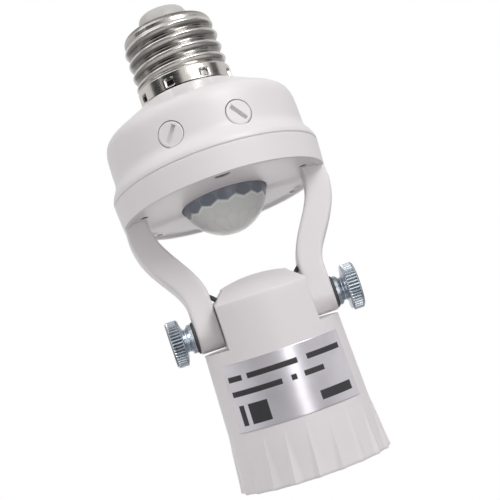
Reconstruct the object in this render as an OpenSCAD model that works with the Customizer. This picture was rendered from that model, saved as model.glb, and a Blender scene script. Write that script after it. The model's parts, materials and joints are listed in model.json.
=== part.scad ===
// Screw-in lamp holder with a motion sensor: a screw cap on top, a sensor drum under it,
// and a tilting lamp socket between two arms. Millimetres. The axis of the cap is Z, the
// foot of the cap's collar is at z = 0, and the photocell faces -Y.

/* [Screw cap] */
// radius of the plain collar
cap_collar_r = 13.25; // [13:0.05:13.5]
// height of the plain collar
cap_collar_h = 4.6; // [3:0.1:6]
// radius over the thread crests
cap_crest_r = 13.15; // [13:0.05:13.25]
// distance from one thread crest to the next
thread_pitch = 3.63; // [3.5:0.01:3.8]
// depth of the rolled thread
thread_depth = 1.0; // [0.8:0.05:1.1]
// height at which the thread ends
cap_thread_top = 18.6; // [16:0.1:20]
// height of the shell's rolled shoulder
cap_shell_top = 20.8; // [19:0.1:22]
// inner radius of the shell
cap_bore_r = 11.8; // [11:0.05:12]
// radius of the insulating knob where it leaves the shell
knob_root_r = 7.6; // [6:0.1:8.5]
// height of the insulating knob
knob_top = 25.4; // [23:0.1:27]
// radius of the centre contact
contact_r = 4.2; // [3:0.1:5]

/* [Sensor drum] */
// radius where the two halves meet
seam_r = 29.3; // [28:0.1:31]
// height of the seam
seam_z = -24.3; // [-26:0.1:-22]
// amount by which the lower edge is smaller than the seam
ring_taper = 0.5; // [0.2:0.1:1]
// height of the lower edge
drum_foot_z = -31.6; // [-33:0.1:-30]
// width of the step from the side wall out to the seam
seam_step = 2.1; // [1.5:0.1:2.6]
// thickness of the plastic walls
wall = 1.8; // [1.2:0.1:2.5]
// depth by which the middle of the underside is set in
underside_inset = 0.6; // [0.3:0.1:1.5]

/* [Adjusters] */
// radius of each adjuster
adjuster_r = 3.6; // [3:0.1:4.5]
// height of the adjusters
adjuster_z = -16.4; // [-18:0.1:-14]
// angle of each adjuster from the front
adjuster_angle = 20.3; // [18:0.1:24]
// width of the adjuster's slot
adjuster_slot_w = 1.0; // [0.8:0.1:1.4]

/* [Sensor] */
// radius of the dome lens at the underside
dome_r = 11.9; // [11:0.1:13]
// height of the dome lens
dome_h = 10; // [9:0.1:11]
// thickness of the dome lens
dome_wall = 0.8; // [0.5:0.1:1.2]
// radius of the photocell's hole
photocell_r = 2.3; // [2:0.1:3]
// distance of the photocell's middle from the lower edge
photocell_in = 4.4; // [4:0.1:6]

/* [Arms] */
// depth of the tilt axis under the drum's foot
pivot_drop = 33.7; // [32:0.1:36]
// width of an arm from front to back
arm_w = 9.6; // [8:0.1:11]
// inner face of the lower part of an arm
arm_inner_x = 12.6; // [12.6:0.05:13.5]
// outer face of the lower part of an arm
arm_outer_x = 19.4; // [19:0.1:20]
// thickness of an arm at the drum
arm_root_t = 6.7; // [5:0.1:7]

/* [Thumbscrews] */
// radius of the knurled head
thumb_r = 6.4; // [5.5:0.1:7]
// thickness of the knurled head
thumb_h = 3.3; // [2.5:0.1:4]
// outer face of the head
thumb_outer_x = 26.7; // [25:0.1:28]
// radius of the head's narrow neck
thumb_neck_r = 3.2; // [2.5:0.1:4]
// radius of the flange that presses on the washer
thumb_flange_r = 4.15; // [3.8:0.05:4.5]
// radius of the stud
stud_r = 1.95; // [1.8:0.05:2.5]
// teeth round the knurled head
thumb_teeth = 44; // [30:1:60]

/* [Lamp socket] */
// tilt of the socket at rest
tilt = 11.8; // [-90:0.1:90]
// height of the socket's crown over the tilt axis
socket_crown = 11.5; // [10:0.1:12]
// height of the shoulder's edge over the tilt axis
socket_shoulder = 6.4; // [5.5:0.1:7]
// amount by which the shoulder is smaller than the ledge
shoulder_lean = 0.4; // [0.2:0.1:1]
// half width across the flats
socket_flat_x = 12.45; // [12:0.05:12.5]
// depth of the ledge under the arms
socket_ledge = 5.5; // [5.3:0.1:6.5]
// room between the liner and the skirt's wall at the ledge
skirt_room = 0.8; // [0.5:0.1:1.5]
// depth at which the skirt's flare starts
flare_start = 27.8; // [26:0.1:30]
// growth in radius from the ledge to the flare
skirt_lean = 0.75; // [0.4:0.05:1.2]
// depth of the mouth
mouth_depth = 43.8; // [42:0.1:46]
// growth in radius from the flare's start to the rim
mouth_flare = 1.55; // [1:0.05:2.5]
// inner radius of the plain mouth
mouth_bore_r = 14.4; // [14.2:0.05:15]
// length of the plain mouth
mouth_bore_len = 10; // [8:0.5:12]
// flutes round the skirt
flutes = 20; // [16:1:28]
// depth of the flutes at the rim
flute_depth = 0.9; // [0.4:0.05:1]
// radius of the socket's thread at its widest
socket_thread_r = 13.3; // [13.28:0.01:13.4]

/* [Label] */
// angle that the label covers
label_angle = 114; // [90:1:140]
// depth of the label's upper edge
label_top = 9.1; // [8:0.1:11]
// depth of the label's lower edge
label_foot = 27.4; // [24:0.1:27.8]
// thickness of the foil
label_t = 0.2; // [0.1:0.01:0.3]

/* [Clearances] */
// radial clearance of turning pins
turn_gap = 0.05; // [0.02:0.01:0.1]
// gap between faces of fixed pieces
face_gap = 0.05; // [0.02:0.01:0.2]
// clearance round the adjusters
adjuster_gap = 0.08; // [0.05:0.01:0.1]

/* [Hidden] */
$fn = 72;
tiny = 0.01;
seg = 14;

drum_foot_r = seam_r - ring_taper;
side_r = seam_r - seam_step;
photocell_y = drum_foot_r - photocell_in;
arm_root_inner_x = drum_foot_r - arm_root_t;
pivot_z = drum_foot_z - pivot_drop;
lip_z = -0.6;
cap_foot_z = lip_z;
collar_undercut = 0.3;
top_lip_r = cap_collar_r + 1.1;
cone_foot = [side_r - 1.2, -7.2];
side_top_z = -10;
underside_z = drum_foot_z + underside_inset;
plate_top_z = underside_z + wall;
neck_r = cap_bore_r - 0.25;
neck_bore_r = 9.4;
neck_top = cap_collar_h + 4.4;

dome_rho = (dome_r * dome_r + dome_h * dome_h) / (2 * dome_h);
dome_centre_z = underside_z - dome_h + dome_rho;
lens_flange_r = dome_r + 2.2;
lens_flange_t = 1.0;
lens_hole_r = dome_r + 0.25;
retainer_r = lens_flange_r + 1.6;

board_z = -19.6;
board_t = 1.6;
board_r = side_r - 3.6;

screw_x = drum_foot_r - 6.2;
screw_y = -6.9;
screw_r = 1.0;
screw_head_r = 1.6;
screw_seat_z = drum_foot_z + 5;
slot_x = drum_foot_r - 8.8;
slot_y = 15;

arm_curve_out = pivot_drop - 7.5;
arm_curve_in = pivot_drop - 9.1;
arm_end_r = arm_w / 2;
channel_w = 2.6;
wire_exit = 9.9;
channel_end = pivot_drop - wire_exit + 1;
wire_r = 0.65;

washer_t = 0.5;
washer_r = 4.4;
flange_x = arm_outer_x + washer_t + 2 * face_gap;
flange_t = 1.2;
insert_r = 3.1;
insert_len = 6;
boss_r = 4.8;
stud_end_x = socket_flat_x - insert_len + 0.8;

shell_wall = 0.5;
liner_r = mouth_bore_r + 1.7;
skin = 2.0;
socket_ledge_r = liner_r + skirt_room + skin;
socket_shoulder_r = socket_ledge_r - shoulder_lean;
flare_start_r = socket_ledge_r + skirt_lean;
mouth_r = flare_start_r + mouth_flare;
socket_minor_r = socket_thread_r - 1.1;
shell_outer_r = socket_thread_r + shell_wall;
shell_mouth = mouth_depth - mouth_bore_len;
shell_top = 12.2;
base_top = socket_ledge + skin + 0.1;
base_foot = 11.6;
leaf_t = 0.5;

function ramp(x) = min(1, max(0, x));
function fade(z, a, b) = ramp((z - a) / (thread_pitch / 2)) * ramp((b - z) / (thread_pitch / 2));
function ease(u, k) = (1 + cos(180 * pow(ramp(u), k))) / 2;
function arm_outer(t) = arm_outer_x + (drum_foot_r - arm_outer_x) * ease(t / arm_curve_out, 1.4);
function arm_inner(t) = arm_inner_x + (arm_root_inner_x - arm_inner_x) * ease(t / arm_curve_in, 1.05);
function arm_middle(t) = (arm_outer(t) + arm_inner(t)) / 2;
function arc(cx, cy, r, a, b, n = seg) = [
  for (i = [0:n]) [cx + r * cos(a + (b - a) * i / n), cy + r * sin(a + (b - a) * i / n)]
];

// a plug whose side is a right-handed wave thread that fades out at both ends
module thread_plug(mid, amp, z0, z1, around = 36, per_turn = 7) {
  levels = ceil((z1 - z0) / thread_pitch * per_turn);
  points = [
    for (i = [0:levels])
      let (z = z0 + (z1 - z0) * i / levels)
      for (j = [0:around - 1])
        let (a = 360 * j / around, r = mid + amp * fade(z, z0, z1) * cos(360 * z / thread_pitch - a))
        [r * cos(a), r * sin(a), z]
  ];
  sides = [
    for (i = [0:levels - 1])
      for (j = [0:around - 1])
        let (k = (j + 1) % around, p = i * around, q = p + around)
        each [[p + j, q + j, q + k], [p + j, q + k, p + k]]
  ];
  foot = [for (j = [0:around - 1]) j];
  head = [for (j = [around - 1:-1:0]) levels * around + j];
  polyhedron(points = points, faces = concat([foot, head], sides), convexity = 8);
}

module tube(r_out, r_in, z0, z1) {
  difference() {
    translate([0, 0, z0]) cylinder(r = r_out, h = z1 - z0);
    translate([0, 0, z0 - 1]) cylinder(r = r_in, h = z1 - z0 + 2);
  }
}

module along_x(x0, x1, r, z = 0) {
  translate([min(x0, x1), 0, z]) rotate([0, 90, 0]) cylinder(r = r, h = abs(x1 - x0));
}

module both_sides() {
  children();
  mirror([1, 0, 0]) children();
}

// places a piece in the frame of the tilted socket
module in_socket() {
  translate([0, 0, pivot_z]) rotate([tilt, 0, 0]) children();
}

// places a piece on the adjuster's axis, with its Z pointing out of the drum
module at_adjuster(side) {
  rotate([0, 0, side * adjuster_angle]) translate([0, 0, adjuster_z]) rotate([90, 0, 0]) children();
}

// the screw cap

module cap_shell() {
  mid = cap_crest_r - thread_depth / 2;
  color([0.78, 0.77, 0.74])
  difference() {
    union() {
      cylinder(r = cap_collar_r, h = cap_collar_h);
      translate([0, 0, cap_foot_z]) cylinder(r = cap_collar_r - collar_undercut, h = 1);
      thread_plug(mid, thread_depth / 2, cap_collar_h - 0.3, cap_thread_top);
      translate([0, 0, cap_thread_top - 0.4]) shoulder_plug(mid - 0.2);
    }
    translate([0, 0, cap_foot_z - 1]) cylinder(r = cap_bore_r, h = cap_thread_top + 1 - cap_foot_z);
    cylinder(r = knob_root_r + 0.6, h = cap_shell_top + 1);
  }
}

module shoulder_plug(r) {
  h = cap_shell_top - cap_thread_top + 0.4;
  rotate_extrude()
    polygon(concat([[0, 0]], arc(r - h, 0, h, 0, 90), [[0, h]]));
}

module cap_insulator() {
  top = cap_thread_top - face_gap;
  rise = knob_top - cap_shell_top;
  color([0.93, 0.92, 0.88])
  difference() {
    rotate_extrude()
      polygon([
        [0, top - 2.2], [cap_bore_r - face_gap, top - 2.2], [cap_bore_r - face_gap, top],
        [knob_root_r + 0.5, top], [knob_root_r, cap_shell_top + 0.2],
        [knob_root_r - 0.7, cap_shell_top + rise * 0.6], [knob_root_r - 1.7, knob_top - 0.5],
        [knob_root_r - 2.6, knob_top], [0, knob_top]
      ]);
    translate([0, 0, top - 3]) cylinder(r = 1.2, h = 12);
  }
}

module cap_contact() {
  color([0.80, 0.68, 0.38])
  union() {
    translate([0, 0, knob_top]) rotate_extrude()
      polygon(concat([[0, 0]], arc(contact_r - 0.8, 0, 0.8, 0, 90, 6), [[0, 0.8]]));
    translate([0, 0, cap_thread_top - 4]) cylinder(r = 1.15, h = knob_top - cap_thread_top + 4.2);
  }
}

// the drum

module drum_outline(inset) {
  polygon(concat(
    [[0, lip_z - inset], [top_lip_r - inset * 0.4, lip_z - inset]],
    [[top_lip_r + 0.4 - inset * 0.4, lip_z - 0.4 - inset]],
    [[(top_lip_r + side_r) / 2 - 0.75 - inset * 0.5, -3.9 - inset * 0.9], cone_foot - [inset * 0.6, inset * 0.8]],
    arc(cone_foot[0] - 1.4, side_top_z, side_r - cone_foot[0] + 1.2 - inset, 40, 0, 6),
    [[side_r - inset, seam_z + 5.1], [side_r + 0.25 - inset, seam_z + 4.1]],
    [[side_r + 0.9 - inset, seam_z + 3.2], [seam_r - 0.35 - inset, seam_z + 2.1]],
    [[seam_r - inset, seam_z + 1]],
    [[seam_r - inset, seam_z], [0, seam_z]]
  ));
}

module upper_housing() {
  color([0.93, 0.92, 0.92])
  difference() {
    union() {
      difference() {
        rotate_extrude() drum_outline(0);
        rotate_extrude() translate([0, -tiny]) drum_outline(wall);
      }
      tube(neck_r, neck_bore_r, -wall - 0.4, neck_top);
      both_sides() screw_boss();
      both_sides() board_post();
    }
    for (side = [-1, 1])
      at_adjuster(side) translate([0, 0, side_r - 7.2]) cylinder(r = adjuster_r + adjuster_gap, h = 12);
    both_sides()
      translate([screw_x, screw_y, seam_z - 1]) cylinder(r = screw_r - 0.15, h = 11);
    translate([0, 0, -5]) cylinder(r = neck_bore_r, h = 20);
  }
}

module screw_boss() {
  intersection() {
    translate([screw_x, screw_y, seam_z]) cylinder(r = 2.8, h = 20);
    rotate_extrude() drum_outline(wall - 0.4);
  }
}

module board_post() {
  intersection() {
    translate([board_r - 10.1, board_r - 8.1, board_z + board_t + face_gap]) cylinder(r = 1.9, h = 20);
    rotate_extrude() drum_outline(wall - 0.4);
  }
}

// the lower ring, the underside and the two arms are one moulding

module ring_outline() {
  polygon([
    [retainer_r + 0.8, underside_z], [drum_foot_r - 2.4, underside_z], [drum_foot_r - 1.7, drum_foot_z],
    [drum_foot_r - 0.5, drum_foot_z], [drum_foot_r - 0.1, drum_foot_z + 0.35],
    [seam_r, seam_z - 0.6], [seam_r - 0.25, seam_z - face_gap],
    [seam_r - wall, seam_z - face_gap], [drum_foot_r - wall, plate_top_z], [retainer_r + 0.8, plate_top_z]
  ]);
}

module arm_outline(half = 0) {
  n = 24;
  last = pivot_drop + arm_end_r;
  top = -underside_inset - wall * 0.6;
  function out(t) = half > 0 ? arm_middle(t) + half : arm_outer(t);
  function inn(t) = half > 0 ? arm_middle(t) - half : arm_inner(t);
  foot = half > 0 ? channel_end : last;
  turn = half > 0 ? channel_end : arm_curve_out;
  polygon(concat(
    [[out(0), top]],
    [for (i = [0:n]) [out(turn * i / n), turn * i / n]],
    half > 0 ? [] : [[arm_outer_x, foot], [arm_inner_x, foot]],
    [for (i = [n:-1:0]) [inn(turn * i / n), turn * i / n]],
    [[inn(0), top]]
  ));
}

module arm_slab(width, half = 0) {
  translate([0, width / 2, drum_foot_z]) rotate([90, 0, 0]) linear_extrude(height = width)
    mirror([0, 1]) arm_outline(half);
}

module arm() {
  difference() {
    intersection() {
      arm_slab(arm_w);
      union() {
        along_x(10, 32, arm_end_r, pivot_z);
        translate([10, -arm_w, pivot_z]) cube([25, 2 * arm_w, pivot_drop + 3]);
      }
      translate([0, 0, pivot_z - 10]) cylinder(r = drum_foot_r - 0.1, h = pivot_drop + 14);
    }
    arm_slab(channel_w, channel_w / 2);
    along_x(arm_inner_x - 2, arm_middle(channel_end), wire_r + 0.15, pivot_z + wire_exit);
    along_x(10, 22, stud_r + turn_gap, pivot_z);
  }
}

module sensor_cover() {
  color([0.93, 0.92, 0.92])
  difference() {
    union() {
      rotate_extrude() ring_outline();
      tube(retainer_r + 1, lens_hole_r, underside_z, plate_top_z);
      both_sides() arm();
      both_sides() cover_boss();
    }
    both_sides() {
      translate([screw_x, screw_y, drum_foot_z - 1]) cylinder(r = screw_r + 0.15, h = 12);
      translate([screw_x, screw_y, drum_foot_z - 1])
        cylinder(r = screw_head_r + 0.15, h = screw_seat_z - drum_foot_z + 1);
      translate([slot_x - 1.3, slot_y - 0.8, underside_z - 1]) cube([2.6, 1.6, wall + 2]);
      translate([0, 0, drum_foot_z - 1]) arm_channel_mouth();
    }
    translate([0, -photocell_y, drum_foot_z - 1]) cylinder(r = photocell_r, h = 5);
  }
}

module cover_boss() {
  translate([screw_x, screw_y, plate_top_z - tiny]) cylinder(r = 2.8, h = seam_z - plate_top_z - face_gap);
}

module arm_channel_mouth() {
  translate([arm_middle(0) - channel_w / 2, -channel_w / 2, 0]) cube([channel_w, channel_w, 5]);
}

// the sensor

module dome_lens() {
  color([0.85, 0.86, 0.84])
  difference() {
    union() {
      intersection() {
        translate([0, 0, dome_centre_z]) sphere(r = dome_rho);
        translate([0, 0, underside_z - dome_h - 1]) cylinder(r = dome_r + 1, h = dome_h + 1.2);
      }
      translate([0, 0, underside_z]) cylinder(r = dome_r, h = wall + face_gap);
      translate([0, 0, plate_top_z + face_gap]) cylinder(r = lens_flange_r, h = lens_flange_t);
    }
    intersection() {
      translate([0, 0, dome_centre_z]) sphere(r = dome_rho - dome_wall);
      translate([0, 0, underside_z - dome_h - 1]) cylinder(r = dome_r, h = dome_h + 1.2);
    }
    translate([0, 0, underside_z - tiny]) cylinder(r = dome_r - dome_wall, h = 6);
  }
}

module lens_retainer() {
  color([0.9, 0.9, 0.9])
  union() {
    tube(retainer_r, lens_flange_r + face_gap, plate_top_z + face_gap, plate_top_z + 3);
    tube(retainer_r, dome_r - 1, plate_top_z + lens_flange_t + 2 * face_gap, plate_top_z + 3);
  }
}

module pir_sensor() {
  z = plate_top_z - 0.8;
  color([0.75, 0.75, 0.72])
  difference() {
    union() {
      translate([0, 0, z]) cylinder(r = 4.1, h = 4.2);
      translate([0, 0, z + 3.6]) cylinder(r = 4.65, h = 0.6);
      for (a = [90, 210, 330])
        rotate([0, 0, a]) translate([2.5, 0, z + 4]) cylinder(r = 0.25, h = board_z - z - 4 - face_gap);
    }
    translate([-2, -1.5, z - 1]) cube([4, 3, 1.5]);
  }
}

module pir_window() {
  color([0.12, 0.10, 0.12])
  translate([-1.95, -1.45, plate_top_z - 0.75]) cube([3.9, 2.9, 0.4]);
}

module photocell() {
  color([0.72, 0.35, 0.2])
  translate([0, -photocell_y + 0.4, underside_z + 0.9]) {
    cylinder(r = 1.8, h = 2.2);
    for (x = [-0.9, 0.9])
      translate([x, 1, 2.1]) cylinder(r = 0.22, h = board_z - underside_z - 3 - face_gap);
  }
}

module photocell_window() {
  color([0.12, 0.12, 0.13])
  translate([0, -photocell_y, underside_z + 0.3]) cylinder(r = photocell_r - face_gap, h = 0.5);
}

module circuit_board() {
  color([0.12, 0.34, 0.2])
  difference() {
    translate([0, 0, board_z]) cylinder(r = board_r, h = board_t);
    both_sides()
      translate([screw_x, screw_y, board_z - 1]) cylinder(r = 3.2, h = 4);
  }
}

module relay() {
  color([0.16, 0.3, 0.55])
  translate([-3, -2, board_z + board_t]) cube([15.2, 10.2, 9.6]);
}

module film_capacitor() {
  color([0.72, 0.22, 0.14])
  translate([5.1 - board_r, -3, board_z + board_t]) cube([13, 6, 9]);
}

module smoothing_capacitor() {
  color([0.15, 0.15, 0.2])
  translate([-4, board_r - 9.6, board_z + board_t]) cylinder(r = 4, h = 8.2);
}

module board_parts() {
  color([0.2, 0.2, 0.2])
  union() {
    translate([-14, 5, board_z + board_t]) cube([6, 7.5, 1.6]);
    translate([3, board_r - 11.6, board_z + board_t]) cube([6.5, 2.6, 2.6]);
    translate([-2, -9, board_z + board_t]) cube([8, 2.4, 2.4]);
    translate([-8, -10, board_z - 1.6]) cube([9, 5, 1.6]);
  }
}

module trimmer(side) {
  color([0.2, 0.35, 0.6])
  difference() {
    at_adjuster(side) translate([-3.2, board_z + board_t + face_gap - adjuster_z, side_r - 9])
      cube([6.4, 4.6, 3.6]);
    at_adjuster(side) translate([0, 0, side_r - 9.7]) cylinder(r = 1.3 + turn_gap, h = 6);
  }
}

module time_trimmer() {
  trimmer(-1);
}

module lux_trimmer() {
  trimmer(1);
}

module adjuster(side, turn) {
  face = side_r - 0.05;
  color([0.93, 0.92, 0.92])
  at_adjuster(side)
  difference() {
    union() {
      translate([0, 0, face - 3]) cylinder(r = adjuster_r, h = 3);
      translate([0, 0, side_r - 8.8]) cylinder(r = 1.3, h = 5.75 + tiny);
    }
    rotate([0, 0, turn]) translate([-2.6, -adjuster_slot_w / 2, face - 1.1]) cube([5.2, adjuster_slot_w, 3]);
  }
}

module time_knob() {
  adjuster(-1, 53);
}

module lux_knob() {
  adjuster(1, -50);
}

module cover_screws() {
  color([0.6, 0.6, 0.6])
  both_sides() translate([screw_x, screw_y, 0]) {
    translate([0, 0, screw_seat_z - 0.4]) cylinder(r = screw_r, h = 11);
    difference() {
      translate([0, 0, screw_seat_z - 1.3]) cylinder(r = screw_head_r, h = 1.3 - face_gap);
      translate([-0.25, -1.1, screw_seat_z - 2]) cube([0.5, 2.2, 1.3]);
      translate([-1.1, -0.25, screw_seat_z - 2]) cube([2.2, 0.5, 1.3]);
    }
  }
}

module lead(points, r) {
  for (i = [0:len(points) - 2])
    let (a = points[i], d = points[i + 1] - a, l = norm(d))
    translate(a) rotate([0, acos(d[2] / l), atan2(d[1], d[0])]) cylinder(r = r, h = l);
  for (i = [1:len(points) - 2])
    translate(points[i]) sphere(r = r * 1.04);
}

module cap_leads() {
  color([0.15, 0.15, 0.16])
  union() {
    lead([[0, 0, cap_thread_top - 4.9], [0, 0, 6], [4, -6, -4], [7, -12, board_z + board_t + 0.9]], 0.8);
    lead([[-8.2, 0, 13], [-8.2, 0, -3.2], [-8, -8, -8], [-8, -14, board_z + board_t + 0.9]], 0.8);
  }
}

module arm_leads() {
  top = plate_top_z + 1.4;
  end = wire_exit - pivot_drop;
  color([0.15, 0.15, 0.16])
  both_sides() union() {
    lead([[board_r - 9.6, -11, board_z - 0.9], [arm_middle(0) - 5.9, -3, top - 0.2], [arm_middle(0) + 0.1, 0, top - 0.9]], 0.6);
    translate([0, 0.7, drum_foot_z]) rotate([90, 0, 0]) linear_extrude(height = 1.4)
      polygon(concat(
        [[arm_middle(0) + 0.7, top - drum_foot_z]],
        [for (i = [0:16]) [arm_middle(-end * i / 16) + 0.7, end * i / 16]],
        [for (i = [16:-1:0]) [arm_middle(-end * i / 16) - 0.7, end * i / 16]],
        [[arm_middle(0) - 0.7, top - drum_foot_z]]
      ));
  }
}

// the clamping screws of the tilt joint

module washers() {
  color([0.2, 0.2, 0.21])
  both_sides() difference() {
    along_x(arm_outer_x + face_gap, arm_outer_x + face_gap + washer_t, washer_r, pivot_z);
    along_x(arm_outer_x - 1, arm_outer_x + 3, stud_r + turn_gap, pivot_z);
  }
}

module thumbscrew() {
  knurl = 0.28;
  head_x = thumb_outer_x - thumb_h;
  translate([0, 0, pivot_z]) union() {
    along_x(stud_end_x, flange_x + 0.5, stud_r);
    rotate([0, 90, 0]) rotate_extrude()
      polygon(concat(
        [[0, flange_x], [thumb_flange_r, flange_x], [thumb_flange_r, flange_x + flange_t]],
        [
          for (i = [0:10])
            let (u = i / 5 - 1, rise = (u < 0 ? thumb_flange_r - 0.15 : thumb_r - 1.2) - thumb_neck_r)
            [thumb_neck_r + rise * u * u, flange_x + flange_t + (head_x - flange_x - flange_t) * i / 10]
        ],
        [[thumb_r - 0.9, head_x], [thumb_r - 0.45, head_x + 0.35], [0, head_x + 0.35]]
      ));
    translate([head_x + 0.3, 0, 0]) rotate([0, 90, 0]) linear_extrude(height = thumb_h - 0.6)
      polygon([
        for (i = [0:2 * thumb_teeth - 1])
          let (r = thumb_r - (i % 2) * knurl, a = 180 * i / thumb_teeth)
          [r * cos(a), r * sin(a)]
      ]);
    translate([thumb_outer_x - 0.35, 0, 0]) rotate([0, 90, 0])
      cylinder(r1 = thumb_r - 0.4, r2 = thumb_r - 0.9, h = 0.35);
  }
}

module thumbscrew_right() {
  color([0.72, 0.75, 0.8]) thumbscrew();
}

module thumbscrew_left() {
  color([0.72, 0.75, 0.8]) mirror([1, 0, 0]) thumbscrew();
}

// the lamp socket, drawn about the tilt axis with its mouth towards -Z

module socket_revolve(inset) {
  rho = (pow(socket_shoulder_r, 2) + pow(socket_crown - socket_shoulder, 2))
      / (2 * (socket_crown - socket_shoulder));
  half = asin(socket_shoulder_r / rho);
  foot = inset > 0 ? mouth_depth + 1 : mouth_depth;
  rotate_extrude()
    polygon(concat(
      [[0, -foot], [mouth_r - 0.4 - inset, -foot], [mouth_r - inset, 0.4 - mouth_depth]],
      [[mouth_r - 0.35 - inset, 3.4 - mouth_depth], [flare_start_r + 0.55 - inset, -flare_start - 5]],
      [[flare_start_r + 0.12 - inset, -flare_start - 1.6], [flare_start_r - inset, -flare_start]],
      [[socket_ledge_r - inset, -socket_ledge], [socket_shoulder_r - inset, socket_shoulder - inset * 0.9]],
      arc(0, socket_crown - rho, rho - inset, 90 - half * 0.96, 90, 8)
    ));
}

// the slab that the flats and their slanted upper edges leave
module socket_flats(inset) {
  x = socket_flat_x - inset;
  flat_top = socket_shoulder + 0.4;
  translate([0, 30, 0]) rotate([90, 0, 0]) linear_extrude(height = 60)
    polygon([
      [-30, -60], [30, -60], [30, -socket_ledge - inset], [x, -socket_ledge - inset],
      [x, flat_top - inset * 0.4], [x - 3.1, flat_top + 2.9 - inset * 0.4], [x - 3.1, 20],
      [3.1 - x, 20], [3.1 - x, flat_top + 2.9 - inset * 0.4], [-x, flat_top - inset * 0.4],
      [-x, -socket_ledge - inset], [-30, -socket_ledge - inset]
    ]);
}

module socket_form(inset) {
  intersection() {
    socket_revolve(inset);
    socket_flats(inset);
  }
}

module flute_cutters() {
  len = mouth_depth - flare_start - 2;
  r = 1.7;
  lean = atan((mouth_r - flute_depth - flare_start_r - 0.35) / len);
  for (i = [0:flutes - 1])
    rotate([0, 0, 360 * (i + 0.5) / flutes]) translate([flare_start_r + 0.35 + r, 0, -flare_start - 2])
      rotate([0, 180 - lean, 0]) cylinder(r = r, h = len + 4);
}

module socket_body() {
  color([0.93, 0.92, 0.92])
  in_socket() difference() {
    union() {
      difference() {
        socket_form(0);
        socket_form(skin);
      }
      intersection() {
        both_sides() along_x(4, socket_flat_x, boss_r);
        socket_form(skin * 0.5);
      }
    }
    flute_cutters();
    both_sides() {
      along_x(0, socket_flat_x + 1, insert_r);
      translate([socket_flat_x - 1.3, 0, socket_shoulder + 1.5]) rotate([0, 35, 0]) translate([0, 0, -4])
        cylinder(r = wire_r + 0.45, h = 7);
    }
  }
}

module threaded_inserts() {
  color([0.8, 0.68, 0.38])
  in_socket() both_sides() difference() {
    along_x(socket_flat_x - insert_len, socket_flat_x, insert_r);
    along_x(0, socket_flat_x + 1, stud_r + turn_gap);
  }
}

module socket_liner() {
  flange_h = 1.6;
  color([0.9, 0.9, 0.89])
  in_socket() difference() {
    union() {
      translate([0, 0, -mouth_depth + 0.5]) cylinder(r = mouth_r - skin - 0.35, h = flange_h);
      translate([0, 0, -mouth_depth + 0.5]) cylinder(r = liner_r, h = mouth_depth - base_foot - 0.5);
    }
    translate([0, 0, -mouth_depth - 1]) cylinder(r = mouth_bore_r, h = mouth_bore_len + 1);
    translate([0, 0, -mouth_depth]) cylinder(r = shell_outer_r + face_gap, h = mouth_depth);
  }
}

module screw_shell() {
  mid = (socket_thread_r + socket_minor_r) / 2;
  color([0.78, 0.77, 0.74])
  in_socket() difference() {
    translate([0, 0, -shell_mouth]) cylinder(r = shell_outer_r, h = shell_mouth - shell_top);
    translate([0, 0, -shell_mouth - 0.4])
      thread_plug(mid, (socket_thread_r - socket_minor_r) / 2, 0, shell_mouth - shell_top - 0.6);
    translate([0, 0, -shell_top - 2]) cylinder(r = 9, h = 4);
  }
}

module contact_base() {
  color([0.92, 0.91, 0.88])
  in_socket() difference() {
    translate([0, 0, -base_foot]) cylinder(r = liner_r, h = base_foot - base_top);
    for (x = [-7.5, 7.5])
      translate([x, 4, -base_foot - 1]) cylinder(r = 1.5, h = 6);
  }
}

module contact_leaf() {
  z = -base_foot - leaf_t - face_gap;
  color([0.8, 0.68, 0.38])
  in_socket() union() {
    translate([-6.5, -3, z]) cube([4, 6, leaf_t]);
    translate([-2.6, 2.5, z]) rotate([90, 0, 0]) cylinder(r = leaf_t, h = 5);
    translate([-2.6, -2.5, z]) rotate([0, 18, 0]) cube([7.5, 5, leaf_t]);
    translate([4.2, 0, z - 2.55]) cylinder(r = 2.4, h = 0.7);
  }
}

module socket_terminals() {
  color([0.8, 0.68, 0.38])
  in_socket() for (x = [-7.5, 7.5]) translate([x, 4, 0]) union() {
    translate([0, 0, -base_foot + face_gap]) cylinder(r = 1.45, h = base_foot - base_top + 0.4);
    translate([0, 0, -base_top + face_gap]) cylinder(r = 2.2, h = 1.4);
  }
}

module rating_label() {
  slope = (flare_start_r - socket_ledge_r) / (flare_start - socket_ledge);
  function skin_r(d) = socket_ledge_r + (d - socket_ledge) * slope;
  color([0.75, 0.73, 0.76])
  in_socket() rotate([0, 0, -90 - label_angle / 2]) rotate_extrude(angle = label_angle)
    polygon([
      [skin_r(label_foot), -label_foot], [skin_r(label_foot) + label_t, -label_foot],
      [skin_r(label_top) + label_t, -label_top], [skin_r(label_top), -label_top]
    ]);
}

module bridging_wires() {
  entry = [socket_flat_x - 1.3, 0, socket_shoulder + 1.5];
  color([0.15, 0.15, 0.16])
  both_sides()
    lead([
      [arm_inner_x + 1.2, 0, pivot_z + wire_exit], [arm_inner_x - 0.7, 0, pivot_z + wire_exit],
      [entry[0], entry[2] * -sin(tilt), pivot_z + entry[2] * cos(tilt)],
      [entry[0] - 1.7, (entry[2] - 2.5) * -sin(tilt), pivot_z + (entry[2] - 2.5) * cos(tilt)]
    ], wire_r);
}

cap_shell();
cap_insulator();
cap_contact();
upper_housing();
sensor_cover();
dome_lens();
lens_retainer();
pir_sensor();
pir_window();
photocell();
photocell_window();
circuit_board();
relay();
film_capacitor();
smoothing_capacitor();
board_parts();
time_trimmer();
lux_trimmer();
time_knob();
lux_knob();
cover_screws();
cap_leads();
arm_leads();
washers();
thumbscrew_left();
thumbscrew_right();
socket_body();
threaded_inserts();
socket_liner();
screw_shell();
contact_base();
contact_leaf();
socket_terminals();
rating_label();
bridging_wires();
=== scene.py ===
"""Dresses the motion sensor lamp holder: fine surfaces and finishes over its fixed frame.

Lengths in the shapes are millimetres; a piece is turned into metres when its mesh is made.
The screw cap's axis is Z, the foot of its collar is at z = 0 and the photocell faces -Y.
"""

import json
import math

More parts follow.
